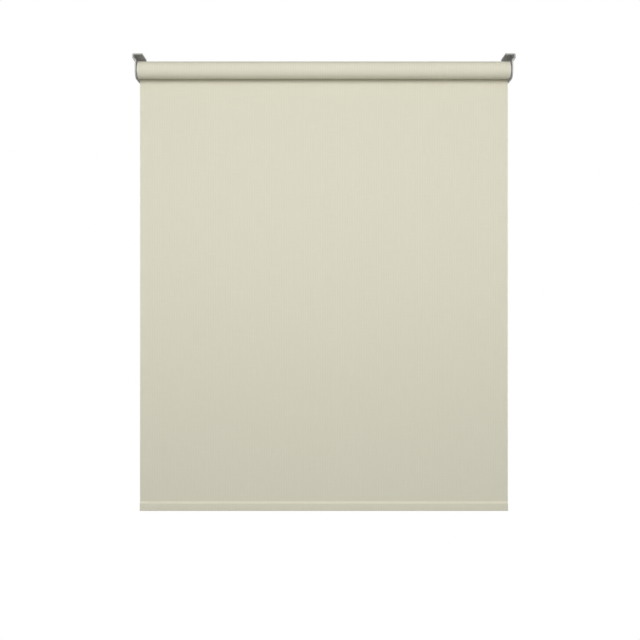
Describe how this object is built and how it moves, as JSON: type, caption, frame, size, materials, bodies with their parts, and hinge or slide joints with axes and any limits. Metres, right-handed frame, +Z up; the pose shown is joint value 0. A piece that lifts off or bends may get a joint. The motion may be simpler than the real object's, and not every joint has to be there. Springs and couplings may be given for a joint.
{
  "type": "blackout roller blind",
  "caption": "Cordless blackout roller blind: coated cream cloth on a sprung aluminium tube between end brackets, with a weighted hem that is drawn down and winds up.",
  "frame": {"origin": "middle of the four top fixing holes of the two brackets, on the face that meets the top of the recess", "axes": "+X along the roller to the pin end, +Y from the room towards the window, +Z up; the hanging cloth's middle plane is y = 0"},
  "size_m": [0.9, 0.0657, 1.08],
  "materials": {
    "bracket_plastic": "satin",
    "moulded_plastic": "satin",
    "shaft_steel": "satin",
    "spring_steel": "satin",
    "tube_alloy": "satin",
    "blackout_cloth": "matte"
  },
  "bodies": {
    "brackets": {"spring_bracket": "bracket_plastic", "idle_bracket": "bracket_plastic", "tang_plug": "moulded_plastic", "spring_shaft": "shaft_steel", "spring_anchor": "moulded_plastic", "anchor_pin": "shaft_steel", "torsion_spring": "spring_steel", "shaft_clip": "spring_steel", "cloth_drop": "blackout_cloth"},
    "roller": {"spring_crown": "moulded_plastic", "wrap_spring": "spring_steel", "drive_plug": "moulded_plastic", "roller_tube": "tube_alloy", "cloth_spline": "moulded_plastic", "cloth_roll": "blackout_cloth", "idle_crown": "moulded_plastic", "pin_cap": "moulded_plastic", "pin_spring": "spring_steel"},
    "pin": {"idle_pin": "shaft_steel"},
    "hem": {"cloth_hem": "blackout_cloth", "hem_bar": "tube_alloy", "hem_cap_left": "moulded_plastic", "hem_cap_right": "moulded_plastic"}
  },
  "joints": [
    {"name": "hem_drop", "type": "slide", "parent": "brackets", "child": "hem", "axis": [0, 0, 1], "range_m": [0, 0.983], "deforming": ["cloth_drop"]},
    {"name": "roller_turn", "type": "hinge", "parent": "brackets", "child": "roller", "pos_m": [0, -0.02034, -0.03547], "axis": [1, 0, 0], "range_deg": [0, 2520], "deforming": ["torsion_spring"]},
    {"name": "idle_pin_press", "type": "slide", "parent": "roller", "child": "pin", "axis": [1, 0, 0], "range_m": [-0.006, 0], "stiffness_N_per_m": 1500, "springref_m": 0.004, "deforming": ["pin_spring"]}
  ],
  "couplings": [
    {"joint": "roller_turn", "follows": "hem_drop", "rad_per_m": 44.743}
  ]
}
